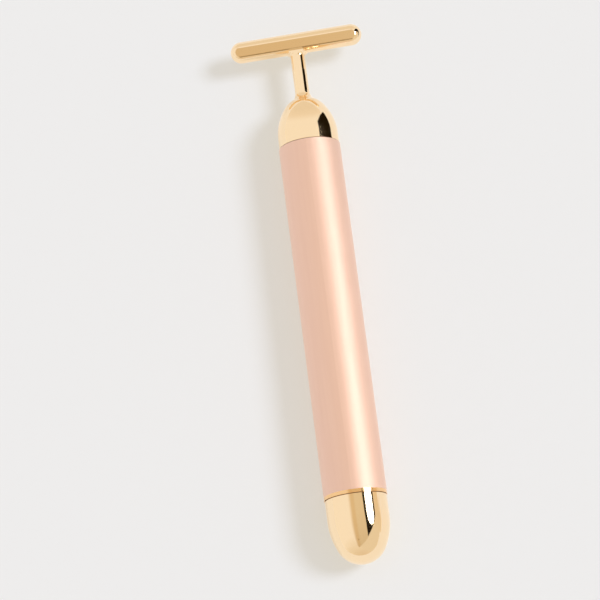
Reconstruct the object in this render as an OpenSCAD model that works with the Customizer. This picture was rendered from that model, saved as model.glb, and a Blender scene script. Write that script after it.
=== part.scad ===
// Vibrating beauty bar: a plated T-shaped head, a slim anodised barrel and a screwed tail cap.
// One cell lies in the barrel and drives a small motor, whose off-centre weight shakes the head.
// The bar lies on its barrel along Y, head towards +Y, with the cross bar level along X.

/* [Barrel] */
// Outside diameter of the barrel tube
barrel_d = 17.5; // [17.3:0.1:19]
// Length of the barrel tube, seam to seam
barrel_l = 101.1; // [92:0.1:125]
// Wall of the barrel tube
barrel_wall = 0.6; // [0.5:0.05:0.7]

/* [Head] */
// Length of the domed end, if no stem stood on it
dome_l = 15; // [14:0.1:18]
// Straight side of the dome, from the seam
dome_straight = 3.4; // [2.5:0.1:4.5]
// Radius of the dome's tip
dome_tip_r = 7.1; // [6.6:0.1:7.6]
// Diameter of the stem between the dome and the cross bar
stem_d = 4.1; // [3.2:0.1:5]
// Radius of the hollow curve where the stem leaves the dome
stem_fillet_r = 3.2; // [2:0.1:4]
// Radius of the small hollow curve where the stem meets the cross bar
bar_fillet_r = 0.9; // [0.5:0.1:1.2]
// Distance from the seam to the centre line of the cross bar
bar_reach = 31.7; // [28:0.1:38]
// Whole length of the cross bar
bar_w = 38.1; // [30:0.1:46]
// Diameter of the cross bar
bar_d = 6.15; // [5.2:0.05:8]
// Width of the flat along the top of the cross bar, and of the one along its underside
bar_flat_w = 2.8; // [2:0.1:4]
// How far the two flats lean, in degrees, so that the upper one faces a little towards the barrel
bar_flat_lean = 16; // [0:1:20]
// Width of the softened edge beside each flat
bar_edge_w = 0.35; // [0.1:0.05:0.5]
// Length of the head's spigot inside the barrel
spigot_l = 10; // [9:0.5:12]
// Depth of the head's hollow beyond the seam
hollow_deep = 8; // [7.8:0.1:8.6]

/* [Motor] */
// Diameter of the motor's can
motor_d = 12; // [11.6:0.1:12.4]
// Length of the motor's can
motor_l = 17.5; // [16:0.5:22]
// Wall of the motor's can
can_wall = 0.5; // [0.4:0.05:0.6]
// Diameter of the motor's shaft
shaft_d = 1.5; // [1.2:0.1:1.8]
// Diameter of the rotor across its poles
rotor_d = 7.8; // [7.2:0.1:8]
// Length of the rotor's stack of plates
stack_l = 7.5; // [6:0.5:8.5]
// Thickness of the magnets
magnet_t = 1.3; // [1:0.05:1.35]
// Wall of the cradle round the motor, inside the head's spigot
cradle_wall = 0.55; // [0.5:0.05:0.7]
// Diameter of the off-centre weight
weight_d = 10; // [8:0.1:10.8]
// Length of the off-centre weight
weight_l = 5; // [3.5:0.1:5.4]

/* [Cell] */
// Diameter of the cell over its jacket
cell_d = 14.2; // [13.8:0.1:14.4]
// Whole length of the cell
cell_l = 50.5; // [49.2:0.1:50.5]
// Diameter of the cell's positive button
button_d = 5.5; // [4.8:0.1:5.5]
// Height of the cell's positive button
button_h = 1.3; // [1:0.1:1.6]
// Room round the cell inside the liner
cell_play = 0.3; // [0.15:0.05:0.35]

/* [Tail cap] */
// Length of the tail cap that shows
cap_l = 18.4; // [17:0.1:24]
// Straight side of the tail cap, from its seam
cap_straight = 5.75; // [4:0.05:7]
// Radius of the tail cap's tip
cap_tip_r = 7.3; // [6.8:0.1:7.8]
// Wall of the tail cap at its tip
cap_wall = 1.8; // [1.4:0.1:2.4]
// Width of the trim ring between the barrel and the tail cap
trim_l = 1; // [0.8:0.1:1.6]
// Length of the collar inside the barrel
collar_l = 10; // [9.5:0.5:12]
// Length of the tail cap's spigot
cap_spigot_l = 8.9; // [8.5:0.1:9.5]
// Wall of the tail cap's spigot, under its thread
cap_spigot_wall = 0.7; // [0.6:0.05:0.9]

/* [Cap thread] */
// Pitch of the tail cap's thread
thread_pitch = 1; // [0.9:0.05:1.1]
// Height of the thread
thread_h = 0.4; // [0.3:0.02:0.42]
// Clearance at the thread's crests
thread_gap = 0.1; // [0.06:0.01:0.12]
// Turns of thread on the cap
cap_turns = 4; // [3:0.5:4]

/* [Contacts] */
// Diameter of the tail spring's wire
wire_d = 0.7; // [0.5:0.05:0.8]
// Coils of the tail spring
spring_coils = 5; // [4:1:6]
// Width of the return strip
strip_w = 3; // [2:0.1:3.4]
// Thickness of the return strip
strip_t = 0.3; // [0.2:0.05:0.3]
// Wall of the contact cup
cup_wall = 0.35; // [0.25:0.05:0.4]
// Diameter of the lead wires over their insulation
lead_d = 1.1; // [0.9:0.05:1.3]

/* [Fits and seams] */
// How far the head's and the cap's sides stand inside the barrel's
end_set_in = 0.16; // [0:0.02:0.3]
// Width of the fine groove that shows at each seam
seam_w = 0.2; // [0.1:0.05:0.3]
// Depth of the fine groove at each seam
seam_h = 0.3; // [0.2:0.05:0.4]
// Gap filled with glue round a bonded piece
glue_gap = 0.03; // [0.02:0.01:0.05]
// Clearance between the shaft and its bushes
bush_gap = 0.03; // [0.02:0.01:0.06]
// Clearance round what swivels in the cap
swivel_gap = 0.1; // [0.06:0.01:0.14]

/* [Hidden] */
$fn = 96;
side_facets = 240;
seal_facets = 48;

// How far a cut runs past the face that it opens, the hair's breadth left between faces that meet, and the
// still smaller one by which a smooth curve's arcs cross, so that no gap opens between them
past = 1;
slip = 0.02;
crossing = 0.002;

// Colours as the photograph shows them, and the usual ones inside
gold = [0.93, 0.78, 0.52];
rose = [0.88, 0.70, 0.62];
brass = [0.80, 0.66, 0.36];
steel = [0.72, 0.72, 0.70];
copper = [0.72, 0.42, 0.25];
white_plastic = [0.92, 0.92, 0.90];
black_rubber = [0.10, 0.10, 0.10];

// Radii from the barrel inwards
barrel_r = barrel_d / 2;
bore_r = barrel_r - barrel_wall;
seat_r = bore_r - glue_gap;
end_r = barrel_r - end_set_in;
cell_r = cell_d / 2;
liner_r = cell_r + cell_play;

// Collar and cap thread, from the barrel's bore inwards
collar_wall = 0.27;
collar_root_r = seat_r - collar_wall;
collar_crest_r = collar_root_r - thread_h;
cap_crest_r = collar_root_r - thread_gap;
cap_root_r = collar_crest_r - thread_gap;
cap_bore_r = cap_root_r - cap_spigot_wall;
thread_facets = 30;
thread_sunk = 0.15;
thread_run_out = 0.3;
thread_set_in = 2.9;
collar_web = 0.2;
root_share = 0.62;
crest_share = 0.12;

// Places along the bar, measured from the head seam towards the tail
collar_u = barrel_l - collar_l;
tail_u = barrel_l + trim_l;
cap_thread_u = collar_u + thread_set_in;
spring_ahead = 1.9;
cell_end_u = collar_u - spring_ahead;
cell_tip_u = cell_end_u - cell_l;

// Contact carrier in front of the cell
contact_t = 0.4;
contact_lap = 0.3;
contact_r = button_d / 2 + contact_lap;
contact_play = 0.1;
button_room = 0.4;
carrier_l = 3;
carrier_end_u = cell_tip_u + button_h - button_room;
carrier_u = carrier_end_u - carrier_l;
rivet_r = 0.8;
rivet_out = 0.7;
rivet_u = carrier_u - rivet_out;

// Cell, from its button to its foot
jacket_t = 0.15;
jacket_lip = 1.4;
can_u = cell_tip_u + button_h;
cell_wall = 0.25;
core_room = 0.8;
core_u = can_u + core_room;
cell_foot = 0.2;
cell_foot_r = 4.8;
cell_flange_t = 0.35;
cell_well_r = 4.9;
cell_gasket_t = 0.4;
cell_gasket_out = 0.1;

// Return strip, laid in a groove of the liner on its underside
strip_slack = 0.1;
strip_out = sqrt(pow(seat_r, 2) - pow(strip_w / 2, 2)) - slip;
strip_in = strip_out - strip_t;
finger_ahead = 0.9;
finger_u = collar_u - finger_ahead;
finger_shoulder = 0.3;
finger_w = strip_w - 2 * finger_shoulder;
tab_ahead = 1.2;
strip_u = carrier_u - tab_ahead;
strip_tab_h = 1.6;
finger_room = 0.3;

// Contact cup, its holder and its screw in the cap
holder_wall = 0.5;
holder_in_r = cap_bore_r - holder_wall;
cup_r = holder_in_r - swivel_gap;
rim_room = 0.25;
cup_rim_r = collar_crest_r - rim_room;
cup_rim_u = finger_u + strip_t + slip;
floor_ahead = 2.8;
cup_floor_u = tail_u - floor_ahead;
finger_lap = 0.35;
finger_reach = cup_rim_r - finger_lap;
holder_floor_u = cup_floor_u + cup_wall + swivel_gap / 2;
holder_floor_t = 2;
boss_l = 6;
boss_r = 2.2;
screw_r = 0.85;
shoulder_r = 1.2;
screw_head_r = 2.2;
screw_head_t = 1;
screw_slot = 0.6;
screw_slot_deep = 0.4;
screw_short = 0.5;
holder_set_in = 0.1;
spring_rings = 12;
spring_sides = 6;
spring_side_room = 0.15;
spring_screw_room = 0.6;

// Motor, cradle and rotor
lip_t = 0.6;
boss_wall = 0.35;
motor_r = motor_d / 2;
cradle_in_r = motor_r + glue_gap;
cradle_out_r = cradle_in_r + cradle_wall;
head_bore_r = cradle_out_r + glue_gap;
cradle_tail = 2.4;
lip_w = 1.4;
lip_in_r = cradle_in_r - lip_w;
bell_plug_wall = 0.9;
bell_t = 2;
bell_plug_l = 2;
shaft_r = shaft_d / 2;
bush_r = 2;
bush_l = 2.5;
bush_out = 0.9;
rear_bush_r = 1.6;
washer_t = 0.3;
washer_r = 1.4;
washer_play = 0.05;
magnet_l = 11.5;
magnet_slot = 3.6;
pole_gap = 1;
coil_gap = 0.05;
end_turn = 0.8;
rotor_room = 0.25;
stack_u = bush_l - bush_out + washer_play + washer_t + rotor_room + end_turn;
magnet_u = stack_u + stack_l / 2 - magnet_l / 2;
hub_play = 0.1;
hub_u = stack_u + stack_l + end_turn + hub_play;
hub_tail = 0.3;
shaft_tail = 0.3;
arm_w = 1.2;
hub_r = 1.5;
shoe_t = 0.6;
coil_w = 3.2;
commutator_r = 1.5;
commutator_t = 0.3;
commutator_l = 2.8;
commutator_room = 1.2;
commutator_u = motor_l - commutator_room - commutator_l;
segment_gap = 0.25;
brush_gap = 0.03;
brush_inset = 0.4;
brush_w = 1.6;
brush_t = 1.05;
leaf_t = 0.25;
leaf_x = commutator_r + brush_gap + brush_t;
terminal_out = 2;
terminal_u = motor_l + bell_t + terminal_out;
lead_sides = 8;
lead_rings = 18;
lead_straight = 0.8;
weight_u = -2;
weight_hub_r = 1.9;
shaft_front_out = 0.4;
shaft_front_u = weight_u - weight_l - shaft_front_out;

// Seals, flattened a little where they are nipped
head_seal_d = 1;
head_seal_u = 4;
head_seal_kept = 0.8;
head_groove_r = bore_r - head_seal_kept * head_seal_d;
head_groove_w = 1.4;
cap_seal_d = 0.8;
cap_seal_kept = 0.9;
cap_seal_out_r = cap_root_r + cap_seal_kept * cap_seal_d;
cap_seal_room = 0.03;

// The whole bar, for its origin under the middle
bar_tip = bar_reach + bar_d / 2;
head_seam_y = (tail_u + cap_l - bar_tip) / 2;

// Lays a piece drawn along +Z, tailwards from the head seam, onto the resting bar
module placed() {
    translate([0, head_seam_y, barrel_r]) rotate([90, 0, 0]) children();
}

// Turns a piece drawn upwards from the head seam to point at the head
module headwards() {
    rotate([180, 0, 0]) children();
}

// A ring or tube from a to b along the axis
module ring(r_out, r_in, a, b) {
    translate([0, 0, a]) difference() {
        cylinder(r = r_out, h = b - a);
        translate([0, 0, -past]) cylinder(r = r_in, h = b - a + 2 * past);
    }
}

// A round rod from a to b along the axis
module rod(r, a, b) {
    translate([0, 0, a]) cylinder(r = r, h = b - a);
}

// Keeps the half of an outline that a lathe turns
module turned_half() {
    intersection() {
        children();
        translate([0, -barrel_l]) square(2 * barrel_l);
    }
}

// Outline of a domed end: a straight side, a long side curve and a rounder tip, each meeting smoothly
module dome_outline(r, straight, length, tip_r) {
    rise = length - tip_r - straight;
    side_r = (r * r + rise * rise - tip_r * tip_r) / (2 * r - 2 * tip_r);
    side_c = [r - side_r, straight];
    tip_c = [0, length - tip_r];
    meet = side_c + (tip_c - side_c) * side_r / norm(tip_c - side_c);
    square([r, straight]);
    intersection() {
        translate(side_c) circle(side_r, $fn = side_facets);
        translate([0, straight]) square([r, meet[1] - straight]);
    }
    turned_half() translate(tip_c - [0, crossing]) circle(tip_r + crossing);
}

// Outline of the stem and of the hollow curve that joins it to the dome
module stem_outline() {
    stem_r = stem_d / 2;
    tip_c = [0, dome_l - dome_tip_r];
    fillet_x = stem_r + stem_fillet_r;
    fillet_y = tip_c[1] + sqrt(pow(dome_tip_r + stem_fillet_r, 2) - fillet_x * fillet_x);
    meet = tip_c + ([fillet_x, fillet_y] - tip_c) * dome_tip_r / (dome_tip_r + stem_fillet_r);
    difference() {
        polygon([tip_c, meet, [fillet_x, fillet_y], [0, fillet_y]]);
        translate([fillet_x, fillet_y]) circle(stem_fillet_r);
    }
    translate([0, tip_c[1]]) square([stem_r, bar_reach - tip_c[1]]);
}

// A ring of seal rubber in its groove, cut flat where it is nipped between two round walls
module nipped_seal(d, r_in, r_out, middle) {
    translate([0, 0, middle]) rotate_extrude() intersection() {
        translate([(r_in + r_out) / 2, 0]) circle(d / 2, $fn = seal_facets);
        translate([r_in, -d]) square([r_out - r_in, 2 * d]);
    }
}

// Helical thread ridge on a round wall, its ends sinking back into the wall
module thread_ridge(wall_r, crest_r, start, turns) {
    side = sign(crest_r - wall_r);
    depth = abs(crest_r - wall_r);
    slope = (root_share - crest_share) * thread_pitch / 2 / depth;
    n = round(turns * thread_facets);
    function rise(t) = depth * min(1, 4 * t - thread_run_out, 4 * (turns - t) - thread_run_out);
    points = [for (i = [0:n], k = [0:3])
        let (t = i / thread_facets,
             top = k == 1 || k == 2,
             r = top ? wall_r + side * rise(t) : wall_r - side * thread_sunk,
             w = root_share * thread_pitch / 2 + (top ? -rise(t) : thread_sunk) * slope)
        [r * cos(360 * t), r * sin(360 * t), start + thread_pitch * t + (k < 2 ? -w : w)]];
    ends = [[0, 1, 2, 3], [4 * n + 3, 4 * n + 2, 4 * n + 1, 4 * n]];
    sides = [for (i = [0:n - 1], k = [0:3]) let (a = 4 * i + k, b = 4 * i + (k + 1) % 4)
        each [[a, a + 4, b], [b, a + 4, b + 4]]];
    faces = concat(ends, sides);
    polyhedron(points, side < 0 ? faces : [for (f = faces) [for (j = [len(f) - 1:-1:0]) f[j]]],
               convexity = 6);
}

// Unit vector
function unit(v) = v / norm(v);

// Round wire swept along a list of points. lie is any direction that the wire never runs along
module wire(path, r, sides, lie) {
    n = len(path) - 1;
    function along(i) = unit(path[min(n, i + 1)] - path[max(0, i - 1)]);
    points = [for (i = [0:n], k = [0:sides - 1])
        let (side = unit(cross(lie, along(i))), up = cross(along(i), side), a = 360 * (k + 0.5) / sides)
        path[i] + r * (cos(a) * side + sin(a) * up)];
    faces = concat([[for (k = [0:sides - 1]) k]],
                   [[for (k = [sides - 1:-1:0]) n * sides + k]],
                   [for (i = [0:n - 1], k = [0:sides - 1])
                    let (a = i * sides + k, b = i * sides + (k + 1) % sides)
                    each [[a, a + sides, b], [b, a + sides, b + sides]]]);
    polyhedron(points, faces, convexity = 8);
}

// Eases from 0 to 1 with no slope at either end
function ease(t) = t * t * (3 - 2 * t);

// Lead wire between two joints on the axis side of the bar, straight where it leaves and arrives
module lead(from, to) {
    run = to[2] - from[2] - 2 * lead_straight;
    path = concat([from],
                  [for (i = [0:lead_rings]) let (t = i / lead_rings, e = ease(t))
                   [from[0] + e * (to[0] - from[0]),
                    from[1] + e * (to[1] - from[1]),
                    from[2] + lead_straight + t * run]],
                  [to]);
    wire(path, lead_d / 2, lead_sides, [1, 0, 0]);
}

// Slots cut lengthways into a turned piece, count of them, a each wide
module slots(count, wide, a, b, turn = 0) {
    for (i = [0:count - 1]) rotate([0, 0, turn + 360 * i / count])
        translate([0, -wide / 2, a]) cube([barrel_d, wide, b - a]);
}

// Room for the return strip on the underside of what it passes
module strip_room(a, b) {
    room_w = strip_w + 2 * strip_slack;
    translate([-room_w / 2, -barrel_r, a]) cube([room_w, barrel_r - strip_in, b - a]);
}

module head_casting() {
    color(gold) placed() headwards() union() {
        rotate_extrude() difference() {
            union() {
                dome_outline(end_r, dome_straight, dome_l, dome_tip_r);
                stem_outline();
                translate([0, -spigot_l]) square([seat_r, spigot_l + past]);
            }
            translate([end_r - seam_h, 0]) square([seam_h + past, seam_w]);
            translate([0, -spigot_l - past]) square([head_bore_r, spigot_l + past + hollow_deep]);
            translate([head_groove_r, -head_seal_u - head_groove_w / 2])
                square([head_seal_d + past, head_groove_w]);
        }
        translate([0, 0, bar_reach]) {
            intersection() {
                rotate([0, 90, 0]) rotate_extrude() cross_bar_outline();
                rotate([bar_flat_lean, 0, 0]) bar_flats();
            }
            bar_flare();
        }
    }
}

// Outline that widens the stem into a wall above it by a hollow quarter curve, from its axis outwards
module flare_outline(wall_y) {
    stem_r = stem_d / 2;
    translate([0, wall_y - bar_fillet_r]) difference() {
        square([stem_r + bar_fillet_r, bar_fillet_r]);
        translate([stem_r + bar_fillet_r, 0]) circle(bar_fillet_r);
    }
    translate([0, wall_y]) square([stem_r + bar_fillet_r, -wall_y]);
}

// Hollow curve where the stem meets the cross bar: it spreads along the bar and hugs the bar's round side
module bar_flare() {
    stem_r = stem_d / 2;
    bar_r = bar_d / 2;
    fillet_x = stem_r + bar_fillet_r;
    fillet_y = -sqrt(pow(bar_r + bar_fillet_r, 2) - fillet_x * fillet_x);
    meet = [fillet_x, fillet_y] * bar_r / (bar_r + bar_fillet_r);
    low = bar_r + bar_fillet_r;
    intersection() {
        rotate_extrude() flare_outline(-bar_r);
        rotate([90, 0, 90]) linear_extrude(4 * fillet_x, center = true) {
            translate([-stem_r, -low]) square([2 * stem_r, low]);
            for (s = [0, 1]) mirror([s, 0]) difference() {
                polygon([[0, fillet_y], [fillet_x, fillet_y], meet, [0, 0]]);
                translate([fillet_x, fillet_y]) circle(bar_fillet_r);
            }
        }
    }
}

// Half outline of the cross bar with its round ends
module cross_bar_outline() {
    r = bar_d / 2;
    end = bar_w / 2 - r;
    translate([0, -end]) square([r, 2 * end]);
    turned_half() for (s = [-1, 1]) translate([0, s * end]) circle(r);
}

// Room between the two flats along the cross bar, and between the slight bevels that soften their edges
module bar_flats() {
    half_w = bar_flat_w / 2;
    flat_h = sqrt(pow(bar_d / 2, 2) - half_w * half_w);
    tilt = asin(half_w / (bar_d / 2)) / 2;
    bevel_h = half_w * sin(tilt) + flat_h * cos(tilt) - bar_edge_w / 2 * tan(tilt);
    intersection_for(side = [-1:1]) rotate([side * tilt, 0, 0])
        cube([bar_w + 2 * past, 2 * (side == 0 ? flat_h : bevel_h), 2 * bar_d], center = true);
}

module head_seal() {
    color(black_rubber) placed() nipped_seal(head_seal_d, head_groove_r, bore_r, head_seal_u);
}

// Drawn tube, turned so that its seam line lies on top, as the trim ring's does
module barrel_tube() {
    color(rose) placed() rotate([0, 0, 90]) ring(barrel_r, bore_r, 0, barrel_l);
}

// Sleeve that carries the motor: thin inside the head's spigot, thick behind it
module motor_cradle() {
    color(white_plastic) placed() {
        ring(cradle_out_r, lip_in_r, -lip_t, 0);
        ring(cradle_out_r, cradle_in_r, 0, spigot_l);
        ring(seat_r, cradle_in_r, spigot_l, motor_l + bell_t + cradle_tail);
    }
}

module motor_can() {
    color(steel) placed() {
        ring(bush_r + boss_wall, bush_r, -bush_out, can_wall);
        ring(motor_r, bush_r, 0, can_wall);
        ring(motor_r, motor_r - can_wall, can_wall, motor_l);
    }
}

module motor_magnets() {
    color(black_rubber) placed() difference() {
        ring(motor_r - can_wall, motor_r - can_wall - magnet_t, magnet_u, magnet_u + magnet_l);
        translate([-magnet_slot / 2, -motor_d, magnet_u - past])
            cube([magnet_slot, 2 * motor_d, magnet_l + 2 * past]);
    }
}

module front_bush() {
    color(brass) placed() ring(bush_r, shaft_r + bush_gap, -bush_out, bush_l - bush_out);
}

module motor_end_bell() {
    color(white_plastic) placed() difference() {
        union() {
            ring(motor_r - can_wall, motor_r - can_wall - bell_plug_wall, motor_l - bell_plug_l, motor_l);
            ring(motor_r, rear_bush_r, motor_l, motor_l + bell_t);
        }
        brush_leaves();
    }
}

module rear_bush() {
    color(brass) placed() ring(rear_bush_r, shaft_r + bush_gap, motor_l, motor_l + bell_t);
}

module motor_brushes() {
    color(black_rubber) placed() for (s = [0, 180]) rotate([0, 0, s])
        translate([commutator_r + brush_gap, -brush_w / 2, commutator_u + brush_inset])
            cube([brush_t, brush_w, commutator_l - 2 * brush_inset]);
}

// Two sprung leaves that hold the brushes and come out behind as the motor's terminals
module brush_leaves() {
    for (s = [0, 180]) rotate([0, 0, s])
        translate([leaf_x, -brush_w / 2, commutator_u])
            cube([leaf_t, brush_w, terminal_u - commutator_u]);
}

module motor_terminals() {
    color(brass) placed() brush_leaves();
}

module motor_shaft() {
    color(steel) placed() rod(shaft_r, shaft_front_u, motor_l + bell_t + shaft_tail);
}

// Outline of one pole's arm, from the hub to its shoe
module arm_outline() {
    translate([0, -arm_w / 2]) square([rotor_d / 2 - shoe_t / 2, arm_w]);
}

module rotor_stack() {
    color(steel) placed() translate([0, 0, stack_u]) linear_extrude(stack_l) difference() {
        union() {
            circle(hub_r);
            for (i = [0:2]) rotate(120 * i) arm_outline();
            difference() {
                circle(rotor_d / 2);
                circle(rotor_d / 2 - shoe_t);
                for (i = [0:2]) rotate(120 * i + 60)
                    translate([0, -pole_gap / 2]) square([rotor_d, pole_gap]);
            }
        }
        circle(shaft_r);
    }
}

module rotor_windings() {
    color(copper) placed() for (i = [0:2]) rotate([0, 0, 120 * i]) difference() {
        translate([0, 0, stack_u - end_turn]) linear_extrude(stack_l + 2 * end_turn) intersection() {
            circle(rotor_d / 2 - shoe_t - coil_gap);
            translate([hub_r + coil_gap, -coil_w / 2]) square([rotor_d, coil_w]);
        }
        translate([0, 0, stack_u]) linear_extrude(stack_l) arm_outline();
    }
}

module commutator_hub() {
    color(white_plastic) placed()
        ring(commutator_r - commutator_t, shaft_r, hub_u, commutator_u + commutator_l + hub_tail);
}

module commutator_segments() {
    color(copper) placed() difference() {
        ring(commutator_r, commutator_r - commutator_t, commutator_u, commutator_u + commutator_l);
        slots(3, segment_gap, commutator_u - past, commutator_u + commutator_l + past, 60);
    }
}

module thrust_washers() {
    front = bush_l - bush_out + washer_play;
    rear = motor_l - washer_play;
    color(white_plastic) placed() {
        ring(washer_r, shaft_r, front, front + washer_t);
        ring(washer_r, shaft_r, rear - washer_t, rear);
    }
}

// Half disc that hangs below the shaft, with a round hub pressed on it
module eccentric_weight() {
    color(brass) placed() translate([0, 0, weight_u - weight_l]) linear_extrude(weight_l) difference() {
        union() {
            circle(weight_hub_r);
            intersection() {
                circle(weight_d / 2);
                translate([-weight_d, -2 * weight_d]) square(2 * weight_d);
            }
        }
        circle(shaft_r);
    }
}

module red_lead() {
    color("firebrick") placed() lead([leaf_x + leaf_t / 2, 0, terminal_u], [0, 0, rivet_u]);
}

module black_lead() {
    color([0.15, 0.15, 0.15]) placed()
        lead([-leaf_x - leaf_t / 2, 0, terminal_u], [0, strip_tab_h / 2 - strip_in, strip_u]);
}

// Disc that holds the positive contact in a shallow well, so that a cell put in backwards can't reach it
module contact_carrier() {
    color(white_plastic) placed() difference() {
        ring(seat_r, rivet_r, carrier_u, carrier_end_u);
        rod(contact_r + contact_play, cell_tip_u - contact_t, carrier_end_u + past);
        strip_room(carrier_u - past, carrier_end_u + past);
    }
}

module positive_contact() {
    color(brass) placed() {
        rod(contact_r, cell_tip_u - contact_t, cell_tip_u);
        rod(rivet_r, rivet_u, cell_tip_u - contact_t);
    }
}

module cell_liner() {
    color(white_plastic) placed() difference() {
        ring(seat_r, liner_r, carrier_end_u, collar_u);
        strip_room(carrier_end_u - past, collar_u + past);
        translate([-finger_w / 2 - strip_slack, -barrel_r, finger_u - finger_room])
            cube([finger_w + 2 * strip_slack, barrel_r - finger_reach, collar_l]);
    }
}

// Strip that brings the return current forward, with a tab for the lead and a finger for the contact cup
module return_strip() {
    color(steel) placed() {
        translate([-strip_w / 2, -strip_out, strip_u]) cube([strip_w, strip_t, finger_u + strip_t - strip_u]);
        translate([-strip_w / 2, -strip_in, strip_u]) cube([strip_w, strip_tab_h, strip_t]);
        translate([-finger_w / 2, -strip_in, finger_u]) cube([finger_w, strip_in - finger_reach, strip_t]);
    }
}

module cell_can() {
    color(steel) placed() difference() {
        union() {
            rod(cell_r - jacket_t, can_u, cell_end_u - cell_foot);
            rod(cell_foot_r, cell_end_u - cell_foot, cell_end_u);
        }
        rod(cell_well_r, can_u - past, can_u + cell_flange_t);
        rod(cell_r - jacket_t - cell_wall, core_u, cell_end_u - cell_foot - cell_wall);
    }
}

module cell_core() {
    color([0.25, 0.25, 0.27]) placed()
        rod(cell_r - jacket_t - cell_wall, core_u, cell_end_u - cell_foot - cell_wall);
}

module cell_button() {
    color(steel) placed() {
        rod(button_d / 2, cell_tip_u, can_u);
        rod(cell_well_r - cell_gasket_t, can_u, can_u + cell_flange_t);
    }
}

module cell_gasket() {
    color(black_rubber) placed()
        ring(cell_well_r, cell_well_r - cell_gasket_t, can_u - cell_gasket_out, can_u + cell_flange_t);
}

module cell_jacket() {
    color([0.55, 0.60, 0.62]) placed() {
        ring(cell_r, cell_r - jacket_t, can_u, cell_end_u - cell_foot);
        ring(cell_r, cell_r - jacket_lip, can_u - jacket_t, can_u);
        ring(cell_r, cell_r - jacket_lip, cell_end_u - cell_foot, cell_end_u - cell_foot + jacket_t);
    }
}

// Turned ring: the trim that shows, and a threaded sleeve bonded inside the barrel
module tail_collar() {
    color(gold) placed() {
        rotate([0, 0, 90]) difference() {
            union() {
                rod(seat_r, collar_u, barrel_l + collar_web);
                rod(barrel_r, barrel_l, tail_u);
            }
            rod(collar_root_r, collar_u - past, tail_u + past);
            rod(cap_seal_out_r + cap_seal_room, barrel_l + collar_web, tail_u + past);
        }
        thread_ridge(collar_root_r, collar_crest_r, cap_thread_u - thread_pitch / 2, cap_turns + 1);
    }
}

// Cup that swivels in the cap. Its rim meets the return strip's finger when the cap is home
module contact_cup() {
    color(brass) placed() {
        ring(cup_rim_r, cup_r - cup_wall, cup_rim_u, cup_rim_u + cup_wall);
        ring(cup_r, cup_r - cup_wall, cup_rim_u + cup_wall, cup_floor_u);
        ring(cup_r, shoulder_r + swivel_gap, cup_floor_u, cup_floor_u + cup_wall);
    }
}

// Cone of coils, wide on the cup's floor and narrow on the cell, each end flattened for half a turn
module tail_spring() {
    wide = cup_r - cup_wall - wire_d / 2 - spring_side_room;
    narrow = screw_head_r + wire_d / 2 + spring_screw_room;
    low = cell_end_u + slip + wire_d / 2;
    high = cup_floor_u - wire_d / 2;
    path = [for (i = [0:spring_rings * spring_coils])
        let (t = i / spring_rings,
             k = min(1, max(0, (t - 0.5) / (spring_coils - 1))),
             r = narrow + (wide - narrow) * t / spring_coils)
        [r * cos(360 * t), r * sin(360 * t), low + k * (high - low)]];
    color(steel) placed() wire(path, wire_d / 2, spring_sides, [0, 0, 1]);
}

module cup_holder() {
    color(white_plastic) placed() {
        ring(cap_bore_r, holder_in_r, tail_u - cap_spigot_l + holder_set_in, holder_floor_u);
        ring(cap_bore_r, screw_r, holder_floor_u, holder_floor_u + holder_floor_t);
        ring(boss_r, screw_r, holder_floor_u + holder_floor_t, holder_floor_u + holder_floor_t + boss_l);
    }
}

module swivel_screw() {
    head = cup_floor_u - swivel_gap / 2;
    color(steel) placed() difference() {
        union() {
            rod(screw_head_r, head - screw_head_t, head);
            rod(shoulder_r, head, holder_floor_u);
            rod(screw_r, holder_floor_u, holder_floor_u + holder_floor_t + boss_l - screw_short);
        }
        translate([-screw_head_r - past, -screw_slot / 2, head - screw_head_t - past])
            cube([2 * (screw_head_r + past), screw_slot, past + screw_slot_deep]);
    }
}

module cap_seal() {
    color(black_rubber) placed()
        nipped_seal(cap_seal_d, cap_root_r, cap_seal_out_r, tail_u + slip - cap_seal_d / 2);
}

module tail_cap() {
    dome_c = cap_l - cap_wall - cap_bore_r;
    color(gold) placed() translate([0, 0, tail_u]) {
        rotate_extrude() difference() {
            union() {
                dome_outline(end_r, cap_straight, cap_l, cap_tip_r);
                translate([0, -cap_spigot_l]) square([cap_root_r, cap_spigot_l + past]);
            }
            translate([cap_root_r, -past]) square([barrel_r, past + slip]);
            translate([end_r - seam_h, 0]) square([seam_h + past, seam_w]);
            translate([0, -cap_spigot_l - past]) square([cap_bore_r, cap_spigot_l + past + dome_c]);
            turned_half() translate([0, dome_c]) circle(cap_bore_r);
        }
        thread_ridge(cap_root_r, cap_crest_r, cap_thread_u - tail_u, cap_turns);
    }
}

head_casting();
head_seal();
barrel_tube();
motor_cradle();
motor_can();
motor_magnets();
front_bush();
motor_end_bell();
rear_bush();
motor_brushes();
motor_terminals();
motor_shaft();
rotor_stack();
rotor_windings();
commutator_hub();
commutator_segments();
thrust_washers();
eccentric_weight();
red_lead();
black_lead();
contact_carrier();
positive_contact();
cell_liner();
return_strip();
cell_can();
cell_core();
cell_button();
cell_gasket();
cell_jacket();
tail_collar();
contact_cup();
tail_spring();
cup_holder();
swivel_screw();
cap_seal();
tail_cap();
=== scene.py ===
# %% [markdown]
# # A vibrating beauty bar
#
# A slim bar for the face: a gold-plated T-shaped head, a satin rose-gold barrel and a gold tail cap. The cap
# unscrews to let the cell in, and twisting it home switches the motor on. The CAD model already holds every
# piece at its real size. The bar could be modelled again for the picture, but then the two would drift
# apart, so this lesson dresses the model itself: camera, finishes, floor, light and reflections.

# %% Frame
import math

import bpy
from mathutils import Matrix, Vector


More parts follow.
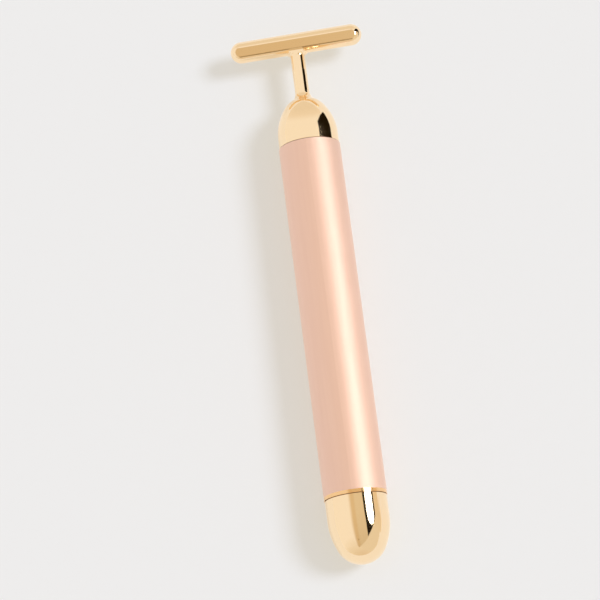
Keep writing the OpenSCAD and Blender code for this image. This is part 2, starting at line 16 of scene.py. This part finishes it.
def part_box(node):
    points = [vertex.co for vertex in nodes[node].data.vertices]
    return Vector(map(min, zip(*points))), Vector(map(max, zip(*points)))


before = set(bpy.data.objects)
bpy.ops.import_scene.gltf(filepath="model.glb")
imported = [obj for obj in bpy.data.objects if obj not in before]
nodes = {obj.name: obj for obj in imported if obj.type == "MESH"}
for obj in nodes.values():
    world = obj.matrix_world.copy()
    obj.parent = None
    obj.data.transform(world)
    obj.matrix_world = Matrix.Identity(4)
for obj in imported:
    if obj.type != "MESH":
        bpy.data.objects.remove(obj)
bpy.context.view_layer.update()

# %% [markdown]
# ## Where the barrel runs
#
# Most finishes on a turned piece follow its axis: lathe marks go round it, drawing marks run along it. The
# axis lies along Y. Its height could be typed in, but read from the barrel's own box it stays true if the
# model is resized. The two seams, whose grooves get painted shade, are read from the boxes too.

# %% Axis of the bar
barrel_low, barrel_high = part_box("barrel_tube")
axis_z = (barrel_low.z + barrel_high.z) / 2
barrel_r = (barrel_high.z - barrel_low.z) / 2
head_seam_y = barrel_high.y
cap_seam_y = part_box("tail_collar")[0].y
print(f"barrel radius {1000 * barrel_r:.2f} mm")
print(f"seams at y = {1000 * cap_seam_y:.1f} and {1000 * head_seam_y:.1f} mm")

# %% [markdown]
# ## Camera
#
# The photograph looks down on the bar from nearly overhead, from a little towards its tail and its right,
# with a long lens. A camera could be placed by eye, but here its place was worked out from the seams and
# ends that the photograph shows, so that the picture and the model can be laid over each other.

# %% Camera
camera = bpy.data.objects.new("camera", bpy.data.cameras.new("camera"))
camera.data.sensor_width = 36
camera.data.lens = 156.54
camera.data.clip_end = 20
right = Vector((0.9834, -0.1229, -0.1335)).normalized()
back = Vector((0.0969, -0.2664, 0.9590)).normalized()
up = back.cross(right).normalized()
camera.matrix_world = Matrix((right, up, back)).transposed().to_4x4()
camera.location = (0.06255, -0.19581, 0.70955)
bpy.context.scene.collection.objects.link(camera)
bpy.context.scene.camera = camera
bpy.context.scene.view_settings.view_transform = "Standard"
print(f"camera {1000 * camera.location.length:.0f} mm from the middle of the bar")

# %% [markdown]
# ## Writing a finish
#
# A finish is a tree of shader nodes. It could be wired one node at a time, but that hides the idea, so a
# small class wraps a socket and lets sums be written as sums: `0.3 + 0.1 * grain` adds the Math nodes.

# %% Sums of sockets
class Signal:
    """What a socket gives. Sums are for numbers only: a Math node turns a colour grey."""

    def __init__(self, sheet, socket):
        self.sheet, self.socket = sheet, socket

    def combined(self, operation, a, b):
        return self.sheet.node("Math", {"operation": operation}, {0: a, 1: b})

    def __add__(self, other):
        return self.combined("ADD", self, other)

    def __sub__(self, other):
        return self.combined("SUBTRACT", self, other)

    def __rsub__(self, other):
        return self.combined("SUBTRACT", other, self)

    def __mul__(self, other):
        return self.combined("MULTIPLY", self, other)

    def __truediv__(self, other):
        return self.combined("DIVIDE", self, other)

    def __rtruediv__(self, other):
        return self.combined("DIVIDE", other, self)

    def __lt__(self, other):
        return self.combined("LESS_THAN", self, other)

    def __gt__(self, other):
        return self.combined("GREATER_THAN", self, other)

    __radd__ = __add__
    __rmul__ = __mul__


print("sums of sockets can be written")

# %% [markdown]
# ## A tree to write on
#
# The second class holds a node tree, of a material or of the world. Each kind of node could get a helper of
# its own, but one method does for all of them: it takes the node's type, its settings, which are set first,
# and the values or links of its sockets.

# %% Node trees
class Sheet:
    """A node tree, of a material or of the world."""

    def __init__(self, tree):
        self.tree = tree

    def node(self, kind, settings=None, inputs=None, output=0):
        made = self.tree.nodes.new("ShaderNode" + kind)
        for name, value in (settings or {}).items():
            if name == "stops":
                ramp = made.color_ramp.elements
                while len(ramp) < len(value):
                    ramp.new(0.5)
                for stop, (place, shade) in zip(ramp, value):
                    stop.position, stop.color = place, (*shade, 1)
            else:
                setattr(made, name, value)
        for name, value in (inputs or {}).items():
            if isinstance(value, Signal):
                self.tree.links.new(value.socket, made.inputs[name])
            else:
                made.inputs[name].default_value = value
        return Signal(self, made.outputs[output])

    def mix(self, amount, first, second, blend="MIX"):
        return self.node("Mix", {"data_type": "RGBA", "blend_type": blend},
                         {0: amount, 6: first, 7: second}, output=2)


def colour(*rgb):
    return (*rgb, 1)


def tinted(base, by):
    return colour(*(b * t for b, t in zip(base, by)))


print("node trees can be written")

# %% [markdown]
# ## A finish for the bar
#
# The third class is what each piece wears: a material with its main shader. Grain and grooves could be laid
# on with an unwrapped map, but the bar's own coordinates need none, and sizes on them are in real metres.

# %% A finish
class Finish(Sheet):
    """A material, with its main shader and the place of each point on the bar."""

    def __init__(self, name, **uniform):
        self.material = bpy.data.materials.new(name)
        self.material.use_nodes = True
        super().__init__(self.material.node_tree)
        self.shader = self.tree.nodes["Principled BSDF"]
        for socket, value in uniform.items():
            self.shader.inputs[socket.replace("_", " ")].default_value = value

    def vary(self, socket, signal):
        self.tree.links.new(signal.socket, self.shader.inputs[socket])
        return self

    def bump(self, height, depth):
        inputs = {"Height": height, "Distance": depth, "Strength": 1.0}
        return self.vary("Normal", self.node("Bump", inputs=inputs))

    def place(self):
        return self.node("TexCoord", output="Object")

    def coordinate(self, axis):
        """X, Y or Z of each point, in metres."""
        return self.node("SeparateXYZ", inputs={0: self.place()}, output=axis)

    def along_bar(self):
        """Distance from the head seam towards the tail, in metres."""
        return head_seam_y - self.coordinate("Y")

    def from_axis(self):
        """Distance from the bar's axis, in metres."""
        flat = self.node("VectorMath", {"operation": "MULTIPLY_ADD"},
                         {0: self.place(), 1: (1, 0, 1), 2: (0, 0, -axis_z)})
        return self.node("VectorMath", {"operation": "LENGTH"}, {0: flat}, output="Value")

    def noise(self, size, detail=2.0, stretch=(1, 1, 1)):
        """Soft noise from 0 to 1, with spots of about that size in metres, drawn out by stretch."""
        scale = [1 / s for s in stretch]
        spread = self.node("Mapping", inputs={"Vector": self.place(), "Scale": scale})
        inputs = {"Vector": spread, "Scale": 0.5 / size, "Detail": detail}
        return self.node("TexNoise", inputs=inputs)

    def wave(self, distance, pitch):
        """A wave from -1 to 1 that comes back with every pitch of a distance."""
        return self.node("Math", {"operation": "SINE"}, {0: distance * (2 * math.pi / pitch)})


print("finishes can be written")

# %% [markdown]
# ## Gold plate
#
# The head, the trim ring and the tail cap are polished, then plated with a pale yellow gold. Gold is a
# metal, so its colour is in its reflection. One even roughness would be simpler, but a real polish is never
# quite even: broad soft hazes from the buffing wheel change the roughness a little, and the surface rolls by
# a few microns. The fine grooves at the seams get painted shade. They are too narrow to go dark by
# themselves at this size of picture, so the finish finds them, by distance along the bar and from its axis,
# and paints them dark and a little rougher.

# %% Plated gold
GOLD, TRIM_GOLD = (0.955, 0.745, 0.485), (0.90, 0.585, 0.29)
# painted shade: the dark brown that the seam grooves are painted with
GROOVE_SHADE = (0.34, 0.16, 0.06)
GROOVE_WIDTH = 0.00024
GROOVE_TOP, GROOVE_FLOOR = 0.0002, 0.0006  # metres below the barrel's surface


def seam_shade(metal, start):
    """1 down in the seam's groove that starts so far along the bar, where shade is painted, 0 elsewhere."""
    along_metal, off_axis = metal.along_bar(), metal.from_axis()
    across_groove = (along_metal > start) * (along_metal < start + GROOVE_WIDTH)
    return across_groove * (off_axis < barrel_r - GROOVE_TOP) * (off_axis > barrel_r - GROOVE_FLOOR)


def plated_gold(name, base, roughness):
    gold = Finish(name, Metallic=1.0)
    haze = gold.noise(0.006, detail=3)
    wear = gold.noise(0.0008, detail=2)
    # painted shade in the two seam grooves: darker colour and more roughness there
    groove_shade = seam_shade(gold, -GROOVE_WIDTH) + seam_shade(gold, head_seam_y - cap_seam_y)
    clean = gold.mix(haze, colour(*base), tinted(base, (0.99, 0.97, 0.95)))
    gold.vary("Base Color", gold.mix(groove_shade, clean, colour(*GROOVE_SHADE)))
    gold.vary("Roughness", roughness + 0.05 * haze * wear + 0.3 * groove_shade)
    return gold.bump(gold.noise(0.004), depth=0.000012)


gold_finish = plated_gold("plated_gold", GOLD, roughness=0.06)
trim_finish = plated_gold("plated_gold_trim", TRIM_GOLD, roughness=0.14)
print("gold:", gold_finish.material.name, trim_finish.material.name)

# %% [markdown]
# ## Satin rose anodising
#
# The barrel is a drawn aluminium tube, blasted to a satin and anodised in rose gold. The blasting breaks up
# the reflection into a soft band along the tube. One rough pink metal could do, but its band would be pink,
# and the real one is nearly white: the oxide layer holds the dye, and its own surface reflects white. A clear
# coat over a pink metal, with the oxide's refractive index, looks like that. The very fine marks that the
# drawing leaves stretch along the tube, so their grain is noise drawn out along Y.

# %% Satin rose
ROSE = (0.83, 0.575, 0.455)
OXIDE_INDEX = 1.77
rose_finish = Finish("rose_anodised", Metallic=1.0, Coat_Roughness=0.52, Coat_IOR=OXIDE_INDEX)
blast = rose_finish.noise(0.00012, detail=1)
drawn = rose_finish.noise(0.0004, detail=2, stretch=(1, 30, 1))
dull_rose = tinted(ROSE, (0.97, 0.95, 0.94))
rose_finish.vary("Base Color", rose_finish.mix(drawn, colour(*ROSE), dull_rose))
rose_finish.vary("Roughness", 0.58 + 0.05 * drawn + 0.03 * blast)
rose_finish.vary("Coat Weight", 0.8 + 0.2 * drawn)
rose_finish.bump(blast + 0.5 * drawn, depth=0.000004)
print("satin:", rose_finish.material.name)

# %% [markdown]
# ## Metal parts inside
#
# The motor, the contacts and the cell are out of sight until the cap is off or the bar is cut open. They
# could be left grey, but the model is also looked at opened. Two recipes do for nearly all of their metal:
# turned, with fine rings round the axis, and rolled or drawn, with faint marks along the bar.

# %% Turned and rolled metal
RING_PITCH = 0.00016


def turned_metal(name, base, roughness=0.28):
    """Fine lathe rings across the bar's axis."""
    metal = Finish(name, Metallic=1.0)
    rings = metal.wave(metal.along_bar(), RING_PITCH)
    patch = metal.noise(0.0015, detail=3)
    metal.vary("Base Color", metal.mix(patch, colour(*base), tinted(base, (0.88, 0.86, 0.84))))
    metal.vary("Roughness", roughness + 0.08 * patch + 0.02 * rings)
    return metal.bump(rings, depth=0.000003)


def rolled_metal(name, base, roughness=0.3):
    """Sheet or wire, with faint rolling marks along the bar."""
    metal = Finish(name, Metallic=1.0)
    marks = metal.noise(0.0003, detail=2, stretch=(1, 20, 1))
    metal.vary("Base Color", metal.mix(marks, colour(*base), tinted(base, (0.85, 0.84, 0.83))))
    metal.vary("Roughness", roughness + 0.14 * marks)
    return metal.bump(marks, depth=0.000006)


BRASS, STEEL, COPPER = (0.72, 0.50, 0.20), (0.56, 0.56, 0.55), (0.62, 0.27, 0.14)
brass_turned = turned_metal("turned_brass", BRASS)
brass_sheet = rolled_metal("brass_sheet", BRASS)
steel_turned = turned_metal("steel_ground", STEEL, roughness=0.18)
steel_sheet = rolled_metal("steel_sheet", STEEL)
copper_sheet = rolled_metal("commutator_copper", COPPER)
spring_wire = rolled_metal("spring_wire", (0.60, 0.59, 0.57), roughness=0.22)
print("metals:", brass_turned.material.name, steel_sheet.material.name, copper_sheet.material.name)

# %% [markdown]
# ## Plastic, rubber and pressed powders
#
# Holders, liner, plug and the wires' sleeves are plastic, the seals are rubber, and the magnets, the brushes
# and the cell's filling are pressed powders. Each could have a tree of its own, but they differ only in
# colour, gloss and grain, so one recipe takes those three.

# %% Moulded and pressed
def moulded(name, base, roughness=0.45, grain=0.00025):
    """Moulded or pressed, with the fine grain of its mould."""
    plastic = Finish(name, Metallic=0.0)
    patch = plastic.noise(0.002, detail=2)
    fine = plastic.noise(grain, detail=2)
    plastic.vary("Base Color", plastic.mix(patch, colour(*base), tinted(base, (0.94, 0.94, 0.93))))
    plastic.vary("Roughness", roughness + 0.12 * fine)
    return plastic.bump(fine, depth=0.000008)


white_plastic = moulded("white_plastic", (0.80, 0.80, 0.77))
rubber = moulded("seal_rubber", (0.022, 0.022, 0.023), roughness=0.62)
ferrite = moulded("magnet_ferrite", (0.045, 0.045, 0.05), roughness=0.55, grain=0.0001)
carbon = moulded("brush_carbon", (0.03, 0.03, 0.032), roughness=0.5, grain=0.0001)
red_sleeve = moulded("red_insulation", (0.55, 0.03, 0.02), roughness=0.38)
black_sleeve = moulded("black_insulation", (0.025, 0.025, 0.026), roughness=0.38)
cell_mix = moulded("cell_mix", (0.05, 0.05, 0.055), roughness=0.75)
print("moulded:", white_plastic.material.name, rubber.material.name, ferrite.material.name)

# %% [markdown]
# ## Copper windings
#
# Each of the rotor's three poles is wound with thin enamelled copper wire. Every turn could be modelled as a
# loop of its own, but at this size only the ridges between the turns show, and a wave across the winding
# gives those at no cost, with painted shade in the valleys. The enamel is a clear coat over the copper.

# %% Turns of enamelled wire, side by side
WIRE_PITCH = 0.00022
winding = Finish("copper_wire", Metallic=1.0, Coat_Roughness=0.15)
turns = winding.wave(winding.from_axis(), WIRE_PITCH)
# painted shade: the valleys between the turns get a darker copper
shade_between_turns = colour(0.30, 0.09, 0.035)
winding.vary("Base Color", winding.mix(0.5 + 0.5 * turns, shade_between_turns, colour(*COPPER)))
winding.vary("Roughness", 0.30 - 0.08 * turns)
winding.vary("Coat Weight", 0.6 + 0.2 * turns)
winding.bump(turns, depth=0.00004)
print(f"windings: a ridge every {1000 * WIRE_PITCH:.2f} mm")

# %% [markdown]
# ## Rotor plates
#
# The rotor's core is a pack of thin steel stampings on the shaft. Nothing ever takes it apart, so the CAD
# model has it as one piece. The joints between the plates could be cut into that shape, but a narrow dark
# band that comes back at every plate looks the same and leaves the shape simple.

# %% Thin plates stacked along the shaft
PLATE_PITCH, JOINT_CREST = 0.0005, 0.85
stack = Finish("stacked_plates", Metallic=1.0)
joint = stack.wave(stack.along_bar(), PLATE_PITCH) > JOINT_CREST
stack.vary("Base Color", stack.mix(joint, colour(*STEEL), colour(0.12, 0.11, 0.11)))
stack.vary("Roughness", 0.32 + 0.2 * joint)
stack.bump(0 - joint, depth=0.00003)
print(f"plates: one every {1000 * PLATE_PITCH:.1f} mm")

# %% [markdown]
# ## Cell jacket
#
# The cell wears a plastic film, shrunk on with heat: dark, with a wide copper-coloured band at the end that
# goes in first. The film is never quite flat, so it gets a slow roll. The band could be a piece of its own,
# but it is only a colour. Its place is read from the jacket's box, so it stays right if the cell changes.

# %% Shrunk film with a coloured band
BAND_SHARE = 0.28
DARK_FILM, BAND_FILM = (0.05, 0.12, 0.16), (0.62, 0.40, 0.16)
jacket = Finish("cell_print", Metallic=0.0, Coat_Roughness=0.1)
jacket_low, jacket_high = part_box("cell_jacket")
band_end_y = jacket_high.y - BAND_SHARE * (jacket_high.y - jacket_low.y)
band = jacket.along_bar() < head_seam_y - band_end_y
jacket.vary("Base Color", jacket.mix(band, colour(*DARK_FILM), colour(*BAND_FILM)))
jacket.vary("Roughness", 0.28 + 0.1 * jacket.noise(0.001))
jacket.vary("Coat Weight", 0.5 + 0.2 * jacket.noise(0.004))
jacket.bump(jacket.noise(0.0015), depth=0.00001)
print(f"jacket: the band ends at y = {1000 * band_end_y:.1f} mm")

# %% [markdown]
# ## Which piece wears which finish
#
# The bar is put together from three dozen pieces of many materials. The finishes could be handed out where
# each one is written, but then a piece left bare would be hard to notice. In one table they read like a
# parts list, and the last line prints any piece that was forgotten.

# %% Every node gets its finish
FINISHES = {
    gold_finish: ["head_casting", "tail_cap"],
    trim_finish: ["tail_collar"],
    rose_finish: ["barrel_tube"],
    white_plastic: ["motor_cradle", "motor_end_bell", "commutator_hub", "thrust_washers",
                    "contact_carrier", "cell_liner", "cup_holder"],
    rubber: ["head_seal", "cap_seal", "cell_gasket"],
    steel_sheet: ["motor_can", "return_strip", "cell_can"],
    ferrite: ["motor_magnets"],
    brass_turned: ["front_bush", "rear_bush", "eccentric_weight", "contact_cup"],
    brass_sheet: ["motor_terminals", "positive_contact"],
    carbon: ["motor_brushes"],
    steel_turned: ["motor_shaft", "swivel_screw", "cell_button"],
    stack: ["rotor_stack"],
    winding: ["rotor_windings"],
    copper_sheet: ["commutator_segments"],
    red_sleeve: ["red_lead"],
    black_sleeve: ["black_lead"],
    cell_mix: ["cell_core"],
    jacket: ["cell_jacket"],
    spring_wire: ["tail_spring"],
}
for finish, names in FINISHES.items():
    for name in names:
        nodes[name].data.materials.clear()
        nodes[name].data.materials.append(finish.material)
undressed = set(nodes) - {name for names in FINISHES.values() for name in names}
print("nodes dressed:", len(nodes) - len(undressed), "left over:", sorted(undressed))

# %% [markdown]
# ## The floor
#
# The bar lies on pale paper. A plain diffuse floor under an even sky darkens all round a thing that lies on
# it, but the photograph's floor stays bright on the lamp's side and has one soft beige shadow. So the paper
# is a mix of a diffuse surface, which takes the shadow, and a warm glow of its own, which gives about half of
# its brightness. The gold in the photograph mirrors the paper brighter than the paper looks, so the glow is
# stronger for reflections.

# %% Floor
def level(outline, z):
    """Corners of an outline that lies level at height z."""
    return [(x, y, z) for x, y in outline]


def flat_stage(name, corners, material):
    mesh = bpy.data.meshes.new(name)
    mesh.from_pydata(corners, [], [list(range(len(corners)))])
    mesh.materials.append(material)
    made = bpy.data.objects.new(name, mesh)
    bpy.context.scene.collection.objects.link(made)
    return made


PAPER = (0.858, 0.848, 0.842)
GLOW_SHARE = (0.58, 0.52, 0.40)
MIRRORED_EXTRA = 0.13
FLOOR = [(-4, -4), (4, -4), (4, 4), (-4, 4)]
paper = Finish("floor_paper", Metallic=0.0, Roughness=1.0, Specular_IOR_Level=0.0, Emission_Strength=1.0)
lit = tuple(p * (1 - g) for p, g in zip(PAPER, GLOW_SHARE))
paper_grain = paper.mix(paper.noise(0.002), colour(*lit), tinted(lit, (0.985, 0.985, 0.985)))
paper.vary("Base Color", paper_grain)
own_glow = tinted(PAPER, GLOW_SHARE)
mirrored_glow = colour(*(g + MIRRORED_EXTRA for g in own_glow[:3]))
in_gold = paper.node("LightPath", output="Is Glossy Ray")
paper.vary("Emission Color", paper.mix(in_gold, own_glow, mirrored_glow))
flat_stage("floor", level(FLOOR, 0), paper.material)
print("floor under full light:", PAPER)

# %% [markdown]
# ## The room
#
# The room is nearly white, and turns tan beyond the bar's two ends. It could be built with walls, but a ramp
# over the world's directions is enough. It is weaker for matt surfaces than polished ones show it, so that
# room and key lamp together light white paper to white and no more.

# %% Room
ROOM_SHARE = 0.58
ROOM_TONES = [(0.0, (0.82, 0.72, 0.58)), (0.10, (0.88, 0.81, 0.69)), (0.19, (0.92, 0.86, 0.77)),
              (0.30, (1.0, 0.975, 0.95)), (0.80, (1.0, 0.98, 0.96)), (0.88, (0.92, 0.85, 0.76)),
              (0.95, (0.88, 0.81, 0.71))]
world = bpy.data.worlds.new("studio")
bpy.context.scene.world = world
world.use_nodes = True
room = Sheet(world.node_tree)
looking = room.node("TexCoord", output="Generated")
headwards = room.node("SeparateXYZ", inputs={0: looking}, output="Y")
walls = room.node("ValToRGB", {"stops": ROOM_TONES}, {"Fac": headwards * 0.5 + 0.5})
for_matt = room.node("LightPath", output="Is Diffuse Ray")
for_camera = room.node("LightPath", output="Is Camera Ray")
sky = room.mix(for_matt, walls, colour(ROOM_SHARE, ROOM_SHARE, ROOM_SHARE))
sky = room.mix(for_camera, sky, colour(*PAPER))
room.tree.links.new(sky.socket, room.tree.nodes["Background"].inputs["Color"])
print("the room gives matt surfaces", ROOM_SHARE, "of their light")

# %% [markdown]
# ## The key lamp
#
# A large soft lamp stands high on the bar's right and throws the one shadow. An area lamp could do it, but a
# sun with a wide angle lights the whole floor evenly, as the photograph shows it, and its angle sets how
# soft the shadow is. Polished surfaces don't show it, because they get a lamp card of their own further on.

# %% Key lamp
KEY_TURN, KEY_LEAN, KEY_WIDTH = math.radians(44), math.radians(4.5), math.radians(18)
key = bpy.data.objects.new("key_lamp", bpy.data.lights.new("key_lamp", "SUN"))
key.data.angle = KEY_WIDTH
key.data.energy = (1 - ROOM_SHARE) * math.pi / math.cos(KEY_TURN)
key_from = Vector((math.tan(KEY_TURN), math.tan(KEY_LEAN), 1)).normalized()
key.rotation_mode = "QUATERNION"
key.rotation_quaternion = key_from.to_track_quat("Z", "Y")
key.visible_glossy = False
bpy.context.scene.collection.objects.link(key)
print(f"key lamp {key.data.energy:.2f} W/m2, {math.degrees(KEY_TURN):.0f} degrees off straight above")

# %% [markdown]
# ## What the gold reflects
#
# Polished gold shows the room rather than itself, so most of its look is built here. In the photograph it
# mirrors what look like a long soft lamp, dark cloths round it, and tan boards overhead and at the side. A
# whole studio could be modelled for that, but flat cards that only reflections see, and that light nothing
# matt, are enough.

# %% Cards and where they stand
def glow(name, tint, strength=1.0):
    """A finish that only glows, the same whatever shines on it."""
    return Finish(name, Metallic=0.0, Roughness=1.0, Specular_IOR_Level=0.0, Base_Color=colour(0, 0, 0),
                  Emission_Color=colour(*tint), Emission_Strength=strength)


def reflected_card(name, corners, finish):
    card = flat_stage(name, corners, finish.material)
    card.visible_camera = card.visible_diffuse = False
    card.visible_shadow = card.visible_transmission = False


CARD_TURN, CARD_LIFT, CARD_FAR = math.radians(55), math.radians(5), 0.9
towards = Vector((math.sin(CARD_TURN) * math.cos(CARD_LIFT), math.sin(CARD_LIFT),
                  math.cos(CARD_TURN) * math.cos(CARD_LIFT)))
across = Vector((math.cos(CARD_TURN), 0, -math.sin(CARD_TURN)))
along = towards.cross(across)


def leaning(outline, behind=0.0):
    """Corners of an outline on the plane that faces the bar, or so far behind that plane."""
    return [towards * (CARD_FAR + behind) + across * a + along * b for a, b in outline]


print("cards face the bar from", [round(c, 2) for c in towards], "up is", [round(c, 2) for c in along])

# %% [markdown]
# ## Lamp and dark cloths
#
# The lamp shows as a white tongue down the cap, rounded at its end. Two dark cloths stand behind it and make
# its edges crisp, as black flags do in a studio. A third lies on the paper beside the head, so that the dome
# shows dark down to its side. A lamp of the real size and a plain black frame could be modelled, but flat
# outlines are easier to shift until the reflections lie right.

# %% Lamp and dark cloths
LAMP = [(-0.255, 0.10), (-0.235, 0.17), (-0.17, 0.205), (-0.05, 0.235), (0.06, 0.215), (0.115, 0.17),
        (0.13, 0.08), (0.125, -0.05), (0.10, -0.16), (0.06, -0.235), (-0.01, -0.27), (-0.10, -0.265),
        (-0.18, -0.22), (-0.225, -0.14), (-0.25, 0.0)]
LOW_CLOTH = [(-0.44, 0.14), (-0.39, -0.40), (-0.31, -0.69), (0.03, -0.33), (0.23, -0.08), (0.28, 0.14)]
HIGH_CLOTH = [(-0.085, 0.235), (0.40, 0.245), (1.2, 0.30), (1.2, 1.3), (0.29, 0.76), (-0.075, 0.46)]
FLOOR_CLOTH = [(0.052, 0.055), (1.2, 0.40), (1.2, 1.2), (0.060, 0.105)]
CLOTH_BEHIND, CLOTH_ABOVE_FLOOR = 0.02, 0.0005
dark = glow("dark_cloth", (0.012, 0.007, 0.002))
reflected_card("lamp", leaning(LAMP), glow("lamp_glow", (0.91, 0.955, 1.0), strength=9.6))
reflected_card("low_cloth", leaning(LOW_CLOTH, CLOTH_BEHIND), dark)
reflected_card("high_cloth", leaning(HIGH_CLOTH, CLOTH_BEHIND), dark)
reflected_card("floor_cloth", level(FLOOR_CLOTH, CLOTH_ABOVE_FLOOR), dark)
print("lamp outline:", len(LAMP), "points")

# %% [markdown]
# ## The board overhead
#
# Between the lamp's tongue and the pale left side, the cap and the cross bar's flat show a tan board
# overhead. Its slanting edge towards the tail makes the V near the cap's end, and its left edge melts into
# the room. A row of narrow cards, each a little paler, could do that, but one board whose colour fades across
# its width is simpler. The thin dark line under the flat is a narrow bevel, which mirrors one short stretch
# of the room: a small dark batten just below the board gives the line.

# %% Tan board and batten
WALL, TAN_SHADE = (1.0, 0.975, 0.95), (0.96, 0.89, 0.80)
BOARD_TONES = [(0.0, (0.64, 0.54, 0.39)), (0.25, (0.72, 0.62, 0.46)), (1.0, (0.80, 0.70, 0.53))]
BOARD_TAILWARDS, BOARD_LENGTH = 1.22, 1.44
BOARD_UP, BATTEN_UP = 1, 0.995
TAN_BOARD = [(-0.55, 0.22), (-0.47, -0.80), (-0.22, -1.22), (-0.14, -1.20), (0.10, -0.97), (0.31, -0.93),
             (0.52, -0.86), (0.75, -0.81), (0.92, -0.78), (0.72, 0.22)]
BATTEN = [(-0.160, -0.718), (-0.054, -0.718), (-0.054, -0.686), (-0.160, -0.686)]


def fade(finish, axis, start, end):
    """0 before start and 1 past end, along X or Y, in metres."""
    return finish.node("MapRange", {"interpolation_type": "SMOOTHSTEP"},
                       {"Value": finish.coordinate(axis), "From Min": start, "From Max": end})


board = glow("tan_board", WALL)
from_end = (board.coordinate("Y") + BOARD_TAILWARDS) / BOARD_LENGTH
tone = board.node("ValToRGB", {"stops": BOARD_TONES}, {"Fac": from_end})
shaded = board.mix(fade(board, "X", -0.10, 0.03), colour(*TAN_SHADE), colour(1, 1, 1))
tone = board.mix(1.0, tone, shaded, blend="MULTIPLY")
board.vary("Emission Color", board.mix(fade(board, "X", -0.48, -0.20), colour(*WALL), tone))
reflected_card("tan_board", level(TAN_BOARD, BOARD_UP), board)
reflected_card("batten", level(BATTEN, BATTEN_UP), glow("dark_batten", (0.26, 0.17, 0.07)))
print("overhead:", board.material.name, "at", BOARD_UP, "m, and its batten at", BATTEN_UP, "m")

# %% [markdown]
# ## The board at the side
#
# To the right of the lamp the cap shows a second tan board, paler towards the tail, and its foot on the
# paper. One board bent at its foot could be modelled, but with two flat cards each can fade its own way: the
# upright one along the bar, the foot across it.

# %% Side board and its foot
TAN, LOW_TAN = (0.84, 0.71, 0.53), (0.85, 0.78, 0.655)
SIDE_BOARD = [(0.10, 0.22), (-0.05, -0.35), (-0.31, -0.74), (-0.51, -0.94), (-0.70, -1.05),
              (-1.90, -2.20), (-1.90, -2.60), (1.00, -2.60), (0.95, 0.22)]
BOARD_FOOT = [(0.08, -0.09), (1.2, -0.35), (1.2, 0.15), (0.08, -0.045)]
SIDE_BEHIND, FOOT_ABOVE_FLOOR = 0.04, 0.0004

side = glow("side_board", WALL)
side.vary("Emission Color", side.mix(fade(side, "Y", -0.45, 0.12), colour(*LOW_TAN), colour(*TAN)))
reflected_card("side_board", leaning(SIDE_BOARD, SIDE_BEHIND), side)

foot = glow("board_foot", WALL)
foot.vary("Emission Color", foot.mix(fade(foot, "X", 0.09, 0.24), colour(*WALL), colour(*TAN)))
reflected_card("board_foot", level(BOARD_FOOT, FOOT_ABOVE_FLOOR), foot)
print("at the side:", side.material.name, foot.material.name)
